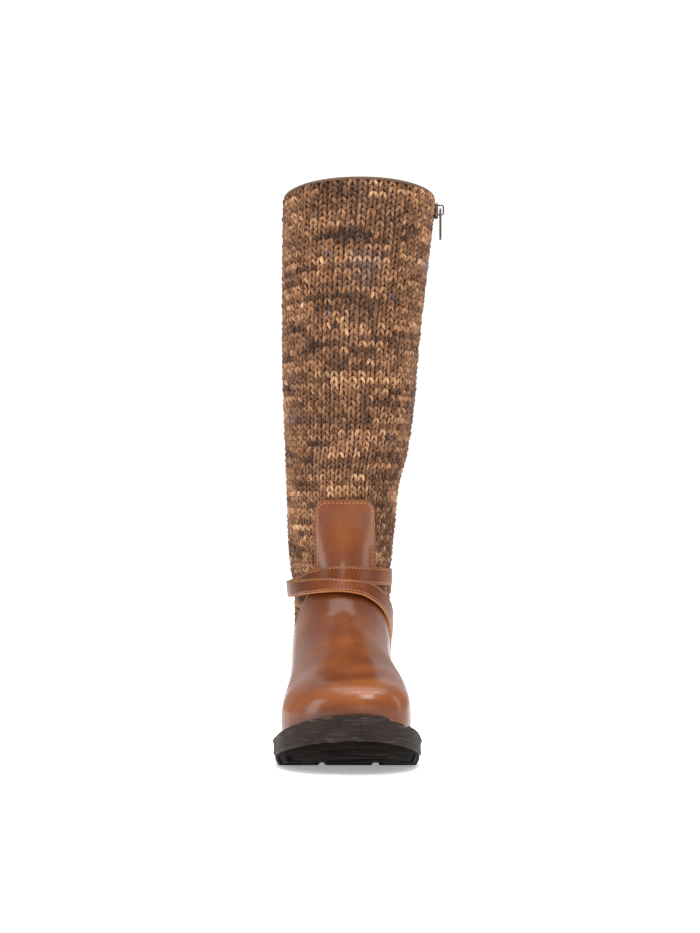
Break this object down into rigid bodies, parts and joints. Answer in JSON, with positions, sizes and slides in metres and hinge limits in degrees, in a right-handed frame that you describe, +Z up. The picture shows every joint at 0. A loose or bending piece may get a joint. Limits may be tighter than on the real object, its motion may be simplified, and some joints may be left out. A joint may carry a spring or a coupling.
{
  "type": "mukluk boot",
  "caption": "Tall right boot with a hollow knitted shaft, leather foot and shin tab, crossed ankle straps, inner-side zip with hinged pull, and lugged sole.",
  "frame": {"origin": "middle of the heel's tread, on the floor that the boot stands on", "axes": "+Z up the shaft, -Y towards the toe, +X towards the inner side of the foot, where the zip is"},
  "size_m": [0.1293, 0.2987, 0.4366],
  "materials": {
    "knit": "chunky variegated knit",
    "leather": "smooth burnished semi-gloss",
    "rubber": "matt with fine lines",
    "lining": "plain woven",
    "tape": "ribbed woven",
    "metal": "antique, dull"
  },
  "bodies": {
    "boot": {"outsole": "rubber", "heel": "rubber", "midsole": "rubber", "insole": "lining", "upper": "knit", "collar_binding": "tape", "vamp": "leather", "counter": "leather", "ankle_strap_under": "leather", "ankle_strap_over": "leather", "zip_tape": "tape", "zip_teeth": "metal", "zip_slider": "metal"},
    "zip_pull": {"zip_pull": "metal"}
  },
  "joints": [
    {"name": "pull_swing", "type": "hinge", "parent": "boot", "child": "zip_pull", "pos_m": [0.0745, -0.00368, 0.4154], "axis": [0, -1, 0], "range_deg": [-4, 150]}
  ]
}
